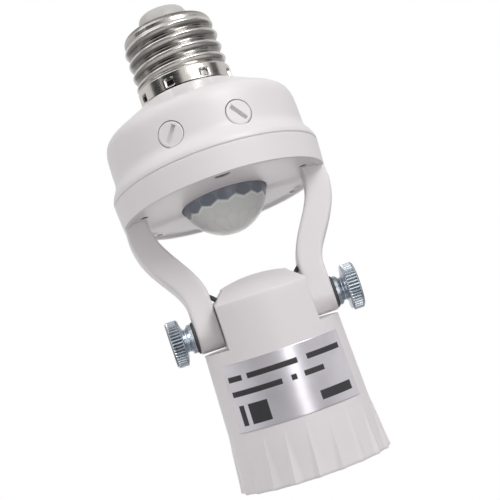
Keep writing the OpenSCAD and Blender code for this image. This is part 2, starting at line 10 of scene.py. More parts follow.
import bpy
import numpy as np
from bpy.props import FloatProperty, FloatVectorProperty, IntProperty, PointerProperty
from bpy.types import Operator, Panel, PropertyGroup
from mathutils import Matrix, Vector


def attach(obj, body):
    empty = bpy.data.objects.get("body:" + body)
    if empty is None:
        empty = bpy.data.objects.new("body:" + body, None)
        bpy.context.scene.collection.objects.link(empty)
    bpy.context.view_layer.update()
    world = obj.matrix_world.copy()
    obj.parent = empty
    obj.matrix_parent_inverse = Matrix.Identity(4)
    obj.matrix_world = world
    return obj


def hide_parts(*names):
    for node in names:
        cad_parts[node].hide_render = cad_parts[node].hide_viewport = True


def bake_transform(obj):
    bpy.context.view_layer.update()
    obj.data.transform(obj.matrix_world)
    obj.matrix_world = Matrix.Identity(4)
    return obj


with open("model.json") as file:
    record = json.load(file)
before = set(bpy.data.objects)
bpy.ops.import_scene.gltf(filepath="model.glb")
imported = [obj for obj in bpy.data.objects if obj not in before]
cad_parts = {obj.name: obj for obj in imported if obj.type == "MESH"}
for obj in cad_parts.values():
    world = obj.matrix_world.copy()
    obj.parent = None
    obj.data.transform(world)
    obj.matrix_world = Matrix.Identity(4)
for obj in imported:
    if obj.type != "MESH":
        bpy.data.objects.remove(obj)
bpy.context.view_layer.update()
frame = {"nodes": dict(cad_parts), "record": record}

bl_info = {
    "name": "Motion sensor lamp holder",
    "version": (1, 0, 0),
    "blender": (4, 5, 0),
    "location": "3D View > Sidebar > Lamp holder",
    "description": "Builds the fine surfaces and finishes of a lamp holder with a motion sensor",
    "category": "Object",
}

# sizes of the frame that the fine surfaces follow
COLLAR_R, COLLAR_H = 13.25, 4.6
CREST_R, THREAD_TOP, SHELL_TOP = 13.15, 18.6, 20.8
KNOB_TOP, KNOB_ROOT_R = 25.4, 7.6
SIDE_R, SEAM_R, SEAM_Z = 27.2, 29.3, -24.3
LIP_Z, UNDERCUT = -0.6, 0.3
FOOT_R, FOOT_Z, UNDERSIDE_Z = 28.8, -31.6, -31.0
PLATE_TOP_Z = -29.2
ADJUSTER_Z, ADJUSTER_ANGLE, ADJUSTER_R = -16.4, 20.3, 3.6
LENS_R, LENS_H = 11.9, 10.0
PIVOT_Z, TILT = -65.3, math.radians(11.8)
ARM_W, ARM_IN, ARM_OUT, ARM_ROOT_IN = 9.6, 12.6, 19.4, 22.1
MOUTH_DEPTH, MOUTH_R, MOUTH_BORE_R, SHELL_MOUTH = 43.8, 21.2, 14.4, 33.8
LEDGE, LEDGE_R, FLARE, FLARE_R = 5.5, 18.9, 27.8, 19.65
CROWN, SHOULDER, SHOULDER_R, FLAT_X = 11.5, 6.4, 18.5, 12.45
SOCKET_THREAD_R, SOCKET_MINOR_R = 13.3, 12.2
LABEL_TOP, LABEL_FOOT, LABEL_HALF = 9.1, 27.4, 57.0

# sizes of the fine detail alone
DENTS, DENT_TURN, DENT_Z, DENT_DEPTH = 8, math.radians(-90 - 20.4), 1.55, 0.75
SCREW_PIT, CLIP_SLOT = (22.6, -6.9), (20.0, 15.0)
SCREW_PIT_R, CLIP_SLOT_R = 1.05, 1.25
SEGMENTS, SEGMENT_ROW = 14, 3.2
RIM_R, GROOVE_DEPTH, GROOVE_HALF = 6.4, 0.42, 0.34
FLUTE_START, RIDGE_LEAN = 28.6, 0.9
LABEL_R, FOIL, GLUE = 19.3, 0.13, 0.005


# shapes


def round_corners(points, radii, steps=6):
    """A path whose corners are arcs: each arc is a quadratic curve between the points where it leaves
    its two sides, at the corner's radius from the corner."""
    points = np.asarray(points, float)
    out = [points[:1]]
    t = np.linspace(0, 1, steps + 1)[:, None]
    for before, corner, after, r in zip(points[:-2], points[1:-1], points[2:], radii[1:-1], strict=True):
        a, b = before - corner, after - corner
        la, lb = np.linalg.norm(a), np.linalg.norm(b)
        a, b = corner + a / la * min(r, la * 0.49), corner + b / lb * min(r, lb * 0.49)
        out.append((1 - t) ** 2 * a + 2 * t * (1 - t) * corner + t**2 * b)
    return np.vstack([*out, points[-1:]])


def even(path, step):
    """The same path with no stretch longer than step."""
    path = np.asarray(path, float)
    out = []
    for a, b in zip(path[:-1], path[1:], strict=True):
        n = max(1, math.ceil(np.linalg.norm(b - a) / step))
        out.append(a + (b - a) * (np.arange(n) / n)[:, None])
    return np.vstack([*out, path[-1:]])


def polar(r, angle, z):
    """The points (r cos a, r sin a, z), one for each radius, angle and height."""
    r, angle, z = np.broadcast_arrays(r, angle, z)
    return np.stack([r * np.cos(angle), r * np.sin(angle), z], -1)


def turned(profile, angles):
    """A surface of revolution as a grid, with a row for each profile point (r, z)."""
    profile = np.asarray(profile)
    return polar(profile[:, 0][:, None], angles, profile[:, 1][:, None])


def circle(n):
    return np.arange(n) * 2 * math.pi / n


def unit(x):
    """x held between 0 and 1."""
    return np.clip(x, 0, 1)


def faces_of(rows, columns, close_rows, close_columns):
    i = np.arange(rows if close_rows else rows - 1)[:, None]
    j = np.arange(columns if close_columns else columns - 1)
    i2, j2 = (i + 1) % rows, (j + 1) % columns
    quads = np.stack([i * columns + j, i * columns + j2, i2 * columns + j2, i2 * columns + j], -1)
    return quads.reshape(-1, 4)


def piece(name, grids, close_columns=True, poles=False, sharp=35, move=None):
    """A mesh object from one grid of points or several, each as rows by columns by 3 in millimetres.
    Poles close the first and the last row to their middle points. Without them the last row joins
    the first. Faces are turned outwards by the sign of the enclosed volume."""
    verts, faces = [], []
    start = 0
    for grid in grids if isinstance(grids, list) else [grids]:
        rows, columns = grid.shape[:2]
        points = grid.reshape(-1, 3)
        quads = faces_of(rows, columns, not poles, close_columns)
        caps = []
        for row in (0, rows - 1) if poles else ():
            centre = len(points)
            points = np.vstack([points, grid[row].mean(0)])
            j = np.arange(columns)
            ring = row * columns + j, row * columns + (j + 1) % columns
            order = ring if row else (ring[1], ring[0])
            caps.append(np.stack([*order, np.full(columns, centre)], -1))
        tris = np.vstack([quads[:, [0, 1, 2]], quads[:, [0, 2, 3]], *caps])
        a, b, c = points[tris[:, 0]], points[tris[:, 1]], points[tris[:, 2]]
        inside_out = np.einsum("ij,ij->", a, np.cross(b, c)) < 0
        for part in (quads, *caps):
            faces += [q[::-1] if inside_out else q for q in (part + start).tolist()]
        verts.append(points)
        start += len(points)
    points = np.vstack(verts)
    if move is not None:
        points = move(points)
    mesh = bpy.data.meshes.new(name)
    mesh.from_pydata((points * 0.001).tolist(), [], faces)
    mesh.validate()
    mesh.polygons.foreach_set("use_smooth", np.ones(len(mesh.polygons), bool))
    mesh.set_sharp_from_angle(angle=math.radians(sharp))
    mesh.update()
    made = bpy.data.objects.new(name, mesh)
    bpy.context.scene.collection.objects.link(made)
    return made


def dress(made, body, slot, *nodes, finish=None):
    """Gives a piece its finish, the body it moves with and the frame's nodes that it stands for."""
    made.data.materials.append(FINISHES[finish or slot])
    if body:
        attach(made, body)
    if nodes:
        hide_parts(*nodes)


def socket_place(points):
    """From the socket's own frame, with the tilt axis through its origin, to the object's frame:
    turn by the tilt about X, then lower to the tilt axis."""
    x, y, z = points[:, 0], points[:, 1], points[:, 2]
    c, s = math.cos(TILT), math.sin(TILT)
    return np.stack([x, y * c - z * s, y * s + z * c + PIVOT_Z], -1)


def sideways(side):
    """Turns a shape about Z into one about X, pointing to the left or right thumbscrew."""

    def move(points):
        return np.stack([side * points[:, 2], points[:, 1], points[:, 0] + PIVOT_Z], -1)

    return move


def sink(angle, height, centre, scale, radius, block, share=0.6, lip=0.15):
    """Opens a round pit in a grid without breaking it. Inside a square block round the pit, square
    rings of the grid are drawn in until the ring at the given share of the block is the pit's circle.
    Returns the moved coordinates, and how deep each point is in the pit, from 0 to 1."""
    u = (np.angle(np.exp(1j * (angle - centre[0])))) * scale / block
    v = (height - centre[1]) / block
    m = np.maximum(np.abs(u), np.abs(v))
    far = np.maximum(np.hypot(u, v), 1e-9)
    cu, cv = radius / block * u / far, radius / block * v / far
    mm = np.maximum(m, 1e-9)
    f = unit((m - share) / (1 - share))
    nu = np.where(m < share, cu * m / share, cu * (1 - f) + u / mm * f)
    nv = np.where(m < share, cv * m / share, cv * (1 - f) + v / mm * f)
    inside = m < 1
    depth = np.where(inside, unit((share - m) / (share * lip)), 0)
    angle = np.where(inside, centre[0] + nu * block / scale, angle)
    height = np.where(inside, centre[1] + nv * block, height)
    return angle, height, depth


def lines(base, *blocks):
    """Grid lines: an even set, plus a finer even set across each block (centre, half width, count)."""
    extra = [c + half * np.linspace(-1, 1, 2 * n + 1) for c, half, n in blocks]
    keep = np.ones(len(base), bool)
    for c, half, _ in blocks:
        keep &= np.abs(base - c) > half
    return np.unique(np.round(np.concatenate([base[keep], *extra]), 6))


def bump(x, half, soft):
    """1 within half of zero, falling to 0 over the soft distance beyond it."""
    t = unit((half + soft - np.abs(x)) / soft)
    return t * t * (3 - 2 * t)


# shader maths


def by(operation):
    """A method that works a value out with one Math node."""
    return lambda value, *others: value.maths(operation, *others)


class Value:
    """A node's output, on which Python's operators add Math nodes."""

    def __init__(self, finish, socket):
        self.finish, self.socket = finish, socket

    def maths(self, operation, *others):
        inputs = {i: v for i, v in enumerate((self, *others))}
        return self.finish.node("Math", {"operation": operation}, inputs)

    def __rsub__(self, other):
        return self.maths("MULTIPLY_ADD", -1.0, other)

    __add__ = __radd__ = by("ADD")
    __sub__ = by("SUBTRACT")
    __mul__ = __rmul__ = by("MULTIPLY")
    __truediv__ = by("DIVIDE")
    __pow__ = by("POWER")
    __abs__ = by("ABSOLUTE")
    __gt__ = by("GREATER_THAN")
    __lt__ = by("LESS_THAN")
    most = by("MAXIMUM")

    def ramp(self, low, high):
        """0 at low, 1 at high, smooth between."""
        settings = {"interpolation_type": "SMOOTHSTEP", "clamp": True}
        return self.finish.node("MapRange", settings, {0: self, 1: low, 2: high, 3: 0.0, 4: 1.0})


class Finish:
    """One material while it is made: a Principled surface and the nodes that feed it."""

    def __init__(self, name, **fixed):
        self.material = bpy.data.materials.new(name)
        self.material.use_nodes = True
        self.tree = self.material.node_tree
        self.surface = next(n for n in self.tree.nodes if n.type == "BSDF_PRINCIPLED")
        for key, value in fixed.items():
            self.surface.inputs[key.replace("_", " ")].default_value = value

    def node(self, kind, settings=None, inputs=None, out=0):
        made = self.tree.nodes.new("ShaderNode" + kind)
        for key, value in (settings or {}).items():
            setattr(made, key, value)
        for key, value in (inputs or {}).items():
            if isinstance(value, Value):
                self.tree.links.new(value.socket, made.inputs[key])
            else:
                made.inputs[key].default_value = value
        return Value(self, made.outputs[out])

    def place(self):
        return self.node("TexCoord", out="Object")

    def xyz(self):
        """The three parts of a place, in millimetres."""
        made = self.tree.nodes.new("ShaderNodeSeparateXYZ")
        self.tree.links.new(self.place().socket, made.inputs[0])
        return [Value(self, o) * 1000.0 for o in made.outputs]

    def noise(self, scale, detail=3.0, roughness=0.55, stretch=(1, 1, 1)):
        spread = self.node("Mapping", {}, {"Vector": self.place(), "Scale": stretch})
        inputs = {"Vector": spread, "Scale": scale, "Detail": detail, "Roughness": roughness}
        return self.node("TexNoise", {}, inputs)

    def mix(self, amount, low, high):
        """A colour that goes from low to high with amount."""
        inputs = {0: amount, 6: colour(low), 7: colour(high)}
        return self.node("Mix", {"data_type": "RGBA"}, inputs, out=2)

    def feed(self, socket, value):
        self.tree.links.new(value.socket, self.surface.inputs[socket])

    def done(self, tone, rough, height, strength, distance):
        """The material, with its tone, its roughness and the relief of a height."""
        relief = {"Strength": strength, "Distance": distance, "Height": height}
        self.feed("Base Color", tone)
        self.feed("Roughness", rough)
        self.feed("Normal", self.node("Bump", {}, relief))
        return self.material


def colour(value):
    if isinstance(value, Value):
        return value
    return (*value[:3], 1.0)


def shade(rgb, amount):
    return tuple(min(1.0, c * amount) for c in rgb[:3])


FINISHES = {}


def white_plastic(rgb, holes=()):
    """Satin white moulding with a very fine grain in the gloss and a faint cloudy tone. Inside the
    underside's small holes, each given as a middle and a radius, it darkens with depth: painted shade
    in the holes, which in the screw pits also stands for the dark screw heads at their bottom."""
    made = Finish("white plastic", Roughness=0.38, Coat_Weight=0.0, Specular_IOR_Level=0.45)
    cloud = made.noise(38.0, 4.0)
    grain = made.noise(2600.0, 2.0)
    tone = made.mix(cloud.ramp(0.3, 0.7), shade(rgb, 0.985), rgb)
    if holes:
        x, y, z = made.xyz()
        inside = None
        for (hx, hy), r in holes:
            across, along = abs(x) - hx, y - hy
            one = (across * across + along * along) ** 0.5 < r + 0.3
            inside = one if inside is None else inside.most(one)
        # painted shade: darker with depth down each hole, in the screw pits partly for the dark screw
        # heads
        deep = inside * z.ramp(UNDERSIDE_Z + 0.05, UNDERSIDE_Z + 0.5)
        tone = made.mix(deep, tone, (0.05, 0.05, 0.055))
    rough = 0.33 + cloud * 0.08 + grain * 0.04
    return made.done(tone, rough, grain, 0.06, 0.00005)


def inner_plastic():
    """Matt heat-resistant moulding of the hidden parts."""
    made = Finish("inner plastic", Roughness=0.55)
    cloud = made.noise(60.0, 4.0)
    grain = made.noise(1800.0, 2.0)
    tone = made.mix(cloud, (0.72, 0.72, 0.70), (0.82, 0.82, 0.80))
    rough = 0.5 + grain * 0.15
    return made.done(tone, rough, grain, 0.1, 0.00006)


def nickel_cap(rgb):
    """Rolled nickel-plated sheet: streaks round the axis from rolling, dull spots, painted shade in the
    thread's roots and the collar's dents, and a dark line at the foot of the collar."""
    made = Finish("nickel cap", Metallic=1.0, Roughness=0.25)
    streak = made.noise(60.0, 5.0, 0.7, (0.6, 0.6, 14.0))
    dull = made.noise(220.0, 4.0)
    x, y, z = made.xyz()
    radius = (x * x + y * y) ** 0.5
    # painted shade: darker where the radius is small, in the thread's roots and the collar's dents
    root = (radius + (z < COLLAR_H - 0.6) * -0.25).ramp(12.1, 12.95)
    tone = made.mix(root, shade(rgb, 0.2), rgb)
    tone = made.mix(z < 0.06, tone, (0.03, 0.03, 0.03))
    tone = made.mix(dull.ramp(0.45, 0.75) * 0.5, tone, shade(rgb, 0.8))
    rough = 0.16 + streak * 0.12 + dull.ramp(0.5, 0.8) * 0.16
    return made.done(tone, rough, streak, 0.12, 0.00006)


def nickel_shell(rgb):
    """The socket's inner shell: the same sheet, duller and rubbed on its crests by lamps."""
    made = Finish("nickel shell", Metallic=1.0, Roughness=0.35)
    dull = made.noise(180.0, 4.0)
    rub = made.noise(90.0, 5.0, 0.7, (1.0, 1.0, 8.0))
    tone = made.mix(dull, shade(rgb, 0.75), shade(rgb, 0.95))
    rough = 0.28 + rub * 0.2
    return made.done(tone, rough, rub, 0.12, 0.00005)


def opal_glass():
    """Off-white glazed insulator with faint pits."""
    made = Finish("cap insulator", Roughness=0.3, Coat_Weight=0.3, Coat_Roughness=0.15)
    cloud = made.noise(120.0, 4.0)
    pits = made.noise(900.0, 2.0).ramp(0.62, 0.72)
    tone = made.mix(cloud, (0.48, 0.47, 0.45), (0.58, 0.57, 0.55))
    rough = 0.25 + cloud * 0.15
    return made.done(tone, rough, 1 - pits, 0.15, 0.00008)


def brass():
    """Bare pressed brass with a light tarnish."""
    made = Finish("contact brass", Metallic=1.0, Roughness=0.3)
    tarnish = made.noise(260.0, 5.0, 0.65)
    tone = made.mix(tarnish.ramp(0.4, 0.75), (0.78, 0.60, 0.28), (0.46, 0.33, 0.15))
    rough = 0.2 + tarnish * 0.25
    return made.done(tone, rough, tarnish, 0.08, 0.00005)


def zinc(rgb):
    """Bright zinc plating, faintly blue, with fine turning marks, clouding and painted shade in the
    knurl's groove roots and just inside the rim of the head's face.
    """
    made = Finish("zinc plating", Metallic=1.0, Roughness=0.25)
    turning = made.noise(240.0, 4.0, 0.7, (10.0, 1.0, 1.0))
    cloud = made.noise(150.0, 4.0)
    x, y, z = made.xyz()
    out = (y * y + (z - PIVOT_Z) * (z - PIVOT_Z)) ** 0.5
    # painted shade in the knurl's groove roots and just inside the rim of the head's face
    root = (abs(x) > 23.3) * (out > 5.5) * (1 - out.ramp(RIM_R - 0.38, RIM_R - 0.1))
    tone = made.mix(cloud.ramp(0.35, 0.65), shade(rgb, 0.72), rgb)
    tone = made.mix(root * 0.85, tone, shade(rgb, 0.2))
    rough = 0.16 + cloud * 0.12 + turning * 0.08
    return made.done(tone, rough, turning, 0.06, 0.00005)


def milky_lens(rgb):
    """Milky polythene dome. The segments pressed inside it show as pale cells with darker borders.
    They follow rings of height and steps of angle, every second ring set off by half a cell. Near the
    base the dark inside, where no light comes through, is painted in as blue-grey shade with a
    scalloped edge and a painted light line along that edge. Towards the tip, where light comes
    through, the pale tone is painted lighter."""
    made = Finish("milky lens", Roughness=0.35, Coat_Weight=0.2, Coat_Roughness=0.2)
    x, y, z = made.xyz()
    depth = UNDERSIDE_Z - z
    ring = depth / SEGMENT_ROW
    cells = y.maths("ARCTAN2", x) * (SEGMENTS / (2 * math.pi))
    across = cells + ring.maths("FLOOR") * 0.5
    cell_u = (across.maths("FRACT") - 0.5) * 2.0
    cell_v = (ring.maths("FRACT") - 0.5) * 2.0
    far = (cell_u * cell_u + cell_v * cell_v) ** 0.5
    border = far.ramp(0.8, 1.05)
    rings = (far * 9.0).maths("SINE")
    tooth = abs((cells.maths("FRACT") - 0.5) * 2.0)
    scallop = depth + tooth * 0.9 + made.noise(300.0, 2.0) * 0.5 - 0.25
    # painted shade: a scalloped zone near the base for the dark inside seen through the dome
    shade_band = 1 - scallop.ramp(3.0, 3.5)
    cloud = made.noise(120.0, 3.0)
    pale = made.mix(border, rgb, shade(rgb, 0.9))
    # painted light: the tone grows lighter from the base towards the tip, where light comes through
    pale = made.mix(depth.ramp(3.0, 9.0) * 0.7 + cloud * 0.1, shade(rgb, 0.82), pale)
    # the blue-grey tones of the painted shade near the base
    dark = made.mix(border * 0.5 + cloud * 0.3, (0.15, 0.165, 0.2), (0.26, 0.28, 0.31))
    # painted light line along the scalloped edge of the painted shade
    pale = made.mix((0.3 - abs(scallop - 3.7)).ramp(0.0, 0.25) * 0.5, pale, shade(rgb, 1.1))
    tone = made.mix(shade_band, pale, dark)
    rough = 0.32 + border * 0.12 + cloud * 0.06
    return made.done(tone, rough, rings * (1 - border) * 0.4 - border, 0.25, 0.00008)


def foil(rgb):
    """Bare satin foil label: upright brushing, soft clouding and plain printed bars and blocks."""
    made = Finish("foil label", Metallic=0.85, Roughness=0.3)
    x, y, z = made.xyz()
    c, s = math.cos(TILT), math.sin(TILT)
    down = (PIVOT_Z - z) * c + y * s
    back = y * c + (z - PIVOT_Z) * s
    turn = x.maths("ARCTAN2", back * -1.0) * LABEL_R
    brush = made.noise(420.0, 5.0, 0.7, (9.0, 9.0, 0.25))
    cloud = made.noise(70.0, 4.0)
    bars = None
    # each bar's edges down the socket and along its arc
    for low, high, left, right in (
        (12.3, 13.9, -17.8, -12.8),
        (12.3, 13.9, -11.2, 3.2),
        (12.3, 13.9, 5.8, 17.4),
        (16.3, 17.9, -17.8, -2.2),
        (16.3, 17.9, 0.2, 1.8),
        (16.3, 17.9, 3.8, 9.8),
        (20.2, 25.8, -16.8, -14.9),
        (20.2, 25.8, -13.6, -7.6),
        (22.6, 25.2, 6.2, 16.8),
    ):
        one = (0.5 * (high - low) - abs(down - 0.5 * (low + high))).ramp(0.0, 0.12)
        one = one * (0.5 * (right - left) - abs(turn - 0.5 * (left + right))).ramp(0.0, 0.12)
        bars = one if bars is None else bars.most(one)
    ink = bars * 0.97
    base = made.mix(cloud.ramp(0.3, 0.7), shade(rgb, 0.86), rgb)
    made.feed("Metallic", 0.85 - ink * 0.85)
    tone = made.mix(ink, base, (0.012, 0.012, 0.014))
    rough = 0.24 + brush * 0.16 + ink * 0.25
    return made.done(tone, rough, brush, 0.1, 0.00005)


def wire_cover():
    """Dark flexible insulation with slight scuffs."""
    made = Finish("wire cover", Roughness=0.45)
    scuff = made.noise(400.0, 4.0, 0.65)
    tone = made.mix(scuff, (0.035, 0.035, 0.04), (0.09, 0.09, 0.1))
    rough = 0.38 + scuff * 0.2
    return made.done(tone, rough, scuff, 0.08, 0.00005)


def plain_finish(name, low, high, rough, metal=0.0):
    """A hidden part's finish: two close tones in a soft cloud, with a fine grain."""
    made = Finish(name, Roughness=rough, Metallic=metal)
    cloud = made.noise(90.0, 4.0)
    fine = made.noise(1200.0, 2.0)
    tone = made.mix(cloud, low, high)
    rough = rough - 0.05 + fine * 0.1
    return made.done(tone, rough, fine, 0.08, 0.00005)


def board():
    """Lacquered board: green mask over pale tracks in a grid."""
    made = Finish("circuit board", Roughness=0.35)
    x, y, z = made.xyz()
    winding = (y * 0.8 + (x * 0.35).maths("SINE") * 2).maths("SINE")
    track = ((x * 0.9).maths("SINE") * winding).ramp(0.1, 0.2)
    tone = made.mix(track, (0.03, 0.16, 0.07), (0.06, 0.26, 0.12))
    rough = 0.3 + made.noise(700.0) * 0.12
    return made.done(tone, rough, track, 0.2, 0.00004)


def make_finishes(looks):
    holes = ((SCREW_PIT, SCREW_PIT_R), (CLIP_SLOT, CLIP_SLOT_R))
    FINISHES.update(
        white_plastic=white_plastic(looks.plastic),
        holed_plastic=white_plastic(looks.plastic, holes),
        inner_plastic=inner_plastic(),
        plated_cap=nickel_cap(looks.nickel),
        shell=nickel_shell(looks.nickel),
        cap_glass=opal_glass(),
        contact_brass=brass(),
        zinc_plated=zinc(looks.zinc),
        milky_lens=milky_lens(looks.lens),
        foil_label=foil(looks.foil),
        wire_cover=wire_cover(),
        dark_washer=plain_finish("dark washer", (0.05, 0.05, 0.055), (0.1, 0.1, 0.11), 0.6),
        sensor_can=plain_finish("sensor can", (0.5, 0.5, 0.48), (0.66, 0.66, 0.64), 0.3, 1.0),
        dark_window=plain_finish("dark window", (0.012, 0.011, 0.013), (0.03, 0.028, 0.03), 0.15),
        photocell_film=plain_finish("photocell film", (0.42, 0.16, 0.08), (0.55, 0.26, 0.12), 0.4),
        board_green=board(),
        relay_blue=plain_finish("blue casing", (0.03, 0.1, 0.28), (0.06, 0.16, 0.36), 0.3),
        capacitor_red=plain_finish("dipped casing", (0.3, 0.05, 0.03), (0.42, 0.1, 0.06), 0.25),
        black_plastic=plain_finish("black casing", (0.02, 0.02, 0.022), (0.05, 0.05, 0.055), 0.45),
    )


# operators


class HOLDER_OT_finishes(Operator):
    """Make the finishes and put them on the frame's own nodes"""

    bl_idname = "holder.finishes"
    bl_label = "Finishes"

    def execute(self, context):
        make_finishes(context.scene.holder_looks)
        for part in frame["record"]["subparts"]:
            node = frame["nodes"][part["node"]]
            slots = node.material_slots
            finish = FINISHES[part["material_slot"]]
            if slots:
                slots[0].material = finish
            else:
                node.data.materials.append(finish)
        return {"FINISHED"}


class HOLDER_OT_screw_cap(Operator):
    """Build the rolled screw cap, its insulator and centre contact"""

    bl_idname = "holder.screw_cap"
    bl_label = "Screw cap"

    def execute(self, context):
        sizes = context.scene.holder_sizes
        dress(screw_cap(sizes), "drum", "plated_cap", "cap_shell")
        dress(insulator(), "drum", "cap_glass", "cap_insulator")
        dress(centre_contact(), "drum", "contact_brass", "cap_contact")
        return {"FINISHED"}


def screw_cap(sizes):
    """The shell's side follows r = mid + depth/2 * fade(z) * cos(2 pi z / pitch - angle), with a small
    second wave that narrows the crests. The collar has punched dents and a foot that steps in. One
    closed profile runs up the outside, over the shoulder and down the inside."""
    pitch, depth = sizes.thread_pitch * 1000, sizes.thread_depth * 1000
    mid = CREST_R - depth / 2
    angles = circle(240)
    z = np.concatenate([[LIP_Z, -0.3, -0.02, 0.0], np.linspace(0.12, THREAD_TOP, 120)])
    waves = z[:, None] * 2 * math.pi / pitch - angles
    start = COLLAR_H - 0.6
    ramp = unit((z - start) / 1.6)[:, None]
    fade = ramp * unit((THREAD_TOP - z) / 1.8)[:, None]
    crest = np.cos(waves) + 0.12 * np.cos(2 * waves)
    side = mid + depth / 2 * fade * crest
    plain = COLLAR_R - (COLLAR_R - mid) * unit((z - start) / 1.2)[:, None]
    joined = np.maximum(plain, side) * (1 - ramp) + side * ramp
    side = np.where(z[:, None] < COLLAR_H + 0.6, joined, side)
    side = np.where(z[:, None] < start, COLLAR_R, side)
    around = (angles - DENT_TURN + math.pi / DENTS) % (2 * math.pi / DENTS) - math.pi / DENTS
    dent = bump(around * COLLAR_R, 0.85, 0.5) * bump(z - DENT_Z, 0.75, 0.5)[:, None]
    side = side - DENT_DEPTH * dent
    side[:3] = COLLAR_R - UNDERCUT
    t = np.linspace(0, math.pi / 2, 12)[1:]
    high = SHELL_TOP - THREAD_TOP
    over = np.stack([mid - high + high * np.cos(t), THREAD_TOP + high * np.sin(t)], -1)
    inner = [[8.2, SHELL_TOP], [8.2, SHELL_TOP - 0.5], [11.8, THREAD_TOP], [11.8, 10], [11.8, LIP_Z]]
    rest = turned(np.vstack([over, even(inner, 3.0)]), angles)
    wall = polar(side, angles, z[:, None])
    return piece("screw_cap", np.vstack([wall, rest]), sharp=50)


def insulator():
    """A low cone with a rounded top and a shallow dish for the contact, turned about the cap's axis."""
    path = [[0.01, 16.4], [11.7, 16.4], [11.7, 18.5], [8.0, 18.5], [7.9, 20.6], [KNOB_ROOT_R, 20.9]]
    path += [[7.0, 23.6], [6.3, 25.2], [5.1, KNOB_TOP + 0.4], [4.5, KNOB_TOP + 0.4]]
    path += [[4.3, KNOB_TOP], [0.01, KNOB_TOP]]
    radii = [0, 0.1, 0.1, 0.1, 0.3, 0.2, 1.2, 1.0, 0.9, 0.2, 0.1, 0]
    profile = even(round_corners(path, radii), 1.5)
    return piece("cap_insulator", turned(profile, circle(96)), poles=True)


def centre_contact():
    """A soldered button: a domed disc turned about the cap's axis, with a low lump of solder."""
    path = [[0.01, KNOB_TOP - 0.1], [4.2, KNOB_TOP - 0.1], [4.2, KNOB_TOP + 0.25], [3.2, KNOB_TOP + 0.6]]
    path += [[1.6, KNOB_TOP + 0.66], [1.2, KNOB_TOP + 0.8], [0.01, KNOB_TOP + 0.8]]
    profile = even(round_corners(path, [0, 0.1, 0.25, 0.8, 0.3, 0.4, 0]), 0.6)
    return piece("centre_contact", turned(profile, circle(64)), poles=True)


class HOLDER_OT_drum(Operator):
    """Build the drum's upper shell with the pits of its two adjusters"""

    bl_idname = "holder.drum"
    bl_label = "Drum shell"

    def execute(self, context):
        dress(drum_shell(), "drum", "white_plastic", "upper_housing")
        return {"FINISHED"}


def drum_profile():
    """The outside of the upper shell from the cap's foot to the seam, as (r, z)."""
    path = [[12.0, LIP_Z - 0.02], [14.4, LIP_Z - 0.02], [14.8, LIP_Z - 0.45], [20.0, -3.9]]
    path += [[25.9, -7.1], [27.0, -9.6], [SIDE_R, -13.0], [SIDE_R, -19.3], [SEAM_R - 0.35, -22.2]]
    path += [[SEAM_R, -23.3], [SEAM_R, SEAM_Z + 0.22], [SEAM_R - 0.3, SEAM_Z + 0.02]]
    return round_corners(path, [0, 0.2, 0.4, 3.0, 2.4, 1.6, 2, 1.6, 1.4, 0.6, 0.1, 0], 8)


def drum_shell():
    """A turned shell whose side has two round pits. The side is a function of angle and depth, so the
    pits only move and push in points of the grid."""
    outside = drum_profile()
    depth = np.concatenate([[0], np.cumsum(np.linalg.norm(np.diff(outside, axis=0), axis=1))])
    at = np.interp(-ADJUSTER_Z, -outside[:, 1], depth)
    block = 5.6
    rows = lines(np.linspace(0, depth[-1], 70), (at, block, 20))
    centres = [math.radians(-90 + side * ADJUSTER_ANGLE) for side in (-1, 1)]
    wide = block / SIDE_R
    columns = lines(np.linspace(-math.pi, math.pi, 201)[:-1], *[(c, wide, 20) for c in centres])
    angle, row = np.broadcast_arrays(columns, rows[:, None])
    pit = 0
    for c in centres:
        angle, row, one = sink(angle, row, (c, at), SIDE_R, ADJUSTER_R + 0.18, block, 0.6, 0.06)
        pit = np.maximum(pit, one)
    r = np.interp(row, depth, outside[:, 0]) - 3.4 * pit
    z = np.interp(row, depth, outside[:, 1])
    wall = polar(r, angle, z)
    inner = [[27.4, SEAM_Z], [25.4, -19.5], [25.3, -10.5], [23.2, -8.6], [14.0, -2.6], [12.0, -2.4]]
    made = np.vstack([wall, turned(even(inner, 6), columns)])
    return piece("drum_shell", made, sharp=40)


class HOLDER_OT_adjusters(Operator):
    """Build the two slotted adjusters"""

    bl_idname = "holder.adjusters"
    bl_label = "Adjusters"

    def execute(self, context):
        for side, turn, name in ((-1, 53, "time"), (1, -50, "lux")):
            made = adjuster(side, turn, name)
            dress(made, f"{name}_adjuster", "white_plastic", f"{name}_knob")
        return {"FINISHED"}


def adjuster(side, turn, name):
    """A flat disc with a rounded edge: the height over its face is a slot, a trough along one diameter,
    taken from a grid of rings. The disc is then stood on the drum's side."""
    rings = np.concatenate([np.linspace(0.02, 3.15, 34), [3.3, 3.42, 3.48, 3.5, 3.5]])
    drop = np.concatenate([np.zeros(34), [0.03, 0.1, 0.2, 0.32, 3.0]])
    angles = circle(160)
    u, v = rings[:, None] * np.cos(angles), rings[:, None] * np.sin(angles)
    t = math.radians(turn)
    along, over = u * math.cos(t) + v * math.sin(t), -u * math.sin(t) + v * math.cos(t)
    slot = bump(over, 0.46, 0.14) * bump(along, 2.4, 0.25)
    out = SIDE_R - 0.02 - drop[:, None] - 1.2 * slot * (rings[:, None] < 3.2)
    a = math.radians(side * ADJUSTER_ANGLE)
    x = u * math.cos(a) + out * math.sin(a)
    y = u * math.sin(a) - out * math.cos(a)
    grid = np.stack([x, y, v + ADJUSTER_Z], -1)
    return piece(f"{name}_adjuster_top", grid, poles=True, sharp=50)


class HOLDER_OT_cover(Operator):
    """Build the lower ring with the underside and its two curved arms"""

    bl_idname = "holder.cover"
    bl_label = "Cover and arms"

    def execute(self, context):
        dress(underside(), "drum", "white_plastic", "sensor_cover", finish="holed_plastic")
        for side, name in ((-1, "left_arm"), (1, "right_arm")):
            dress(arm(side, name), "drum", "white_plastic")
        return {"FINISHED"}


